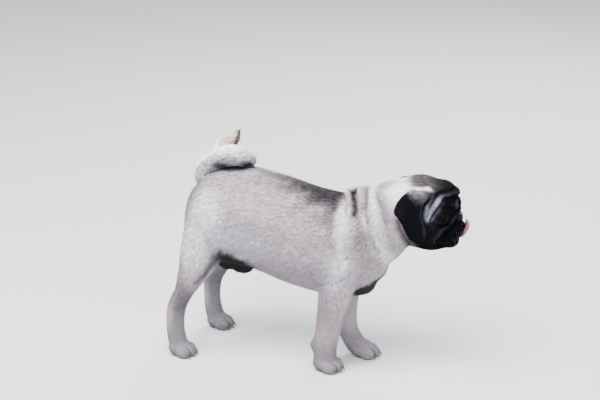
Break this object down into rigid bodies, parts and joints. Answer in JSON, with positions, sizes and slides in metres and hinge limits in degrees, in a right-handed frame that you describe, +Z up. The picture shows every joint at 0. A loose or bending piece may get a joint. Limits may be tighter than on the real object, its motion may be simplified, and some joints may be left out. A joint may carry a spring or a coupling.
{
  "type": "young pug dog, standing",
  "caption": "Life-size young pug standing still, head turned a little, with a wrinkled black mask, folded ears, a tongue licking up to the nose and a tail curled over the back.",
  "frame": {"origin": "on the floor, below the middle of the dog's footprint", "axes": "+X forward, from tail to nose; +Y to the dog's left; +Z up"},
  "size_m": [0.3878, 0.1446, 0.2965],
  "materials": {
    "coat": "short dense fawn fur with a dark saddle along the back",
    "pale coat": "short pale fawn fur",
    "mask": "very short black fur, fawn towards the crown and cheeks",
    "ear": "soft velvety black fur",
    "eye": "wet, glossy, very dark brown",
    "nose": "moist black pebbled skin",
    "tongue": "wet pink flesh",
    "claw": "dark horn, satin"
  },
  "bodies": {
    "root": {"claw_forepaw_left_1": "claw", "claw_forepaw_left_2": "claw", "claw_forepaw_left_3": "claw", "claw_forepaw_left_4": "claw", "claw_forepaw_right_1": "claw", "claw_forepaw_right_2": "claw", "claw_forepaw_right_3": "claw", "claw_forepaw_right_4": "claw", "claw_hindpaw_left_1": "claw", "claw_hindpaw_left_2": "claw", "claw_hindpaw_left_3": "claw", "claw_hindpaw_left_4": "claw", "claw_hindpaw_right_1": "claw", "claw_hindpaw_right_2": "claw", "claw_hindpaw_right_3": "claw", "claw_hindpaw_right_4": "claw", "ear_left": "ear", "ear_right": "ear", "eye_left": "eye", "eye_right": "eye", "foreleg_left": "pale coat", "foreleg_right": "pale coat", "forepaw_left": "pale coat", "forepaw_right": "pale coat", "head": "mask", "hindleg_left": "pale coat", "hindleg_right": "pale coat", "hindpaw_left": "pale coat", "hindpaw_right": "pale coat", "neck": "coat", "nose": "nose", "tail": "pale coat", "tongue": "tongue", "torso": "coat"}
  },
  "joints": []
}
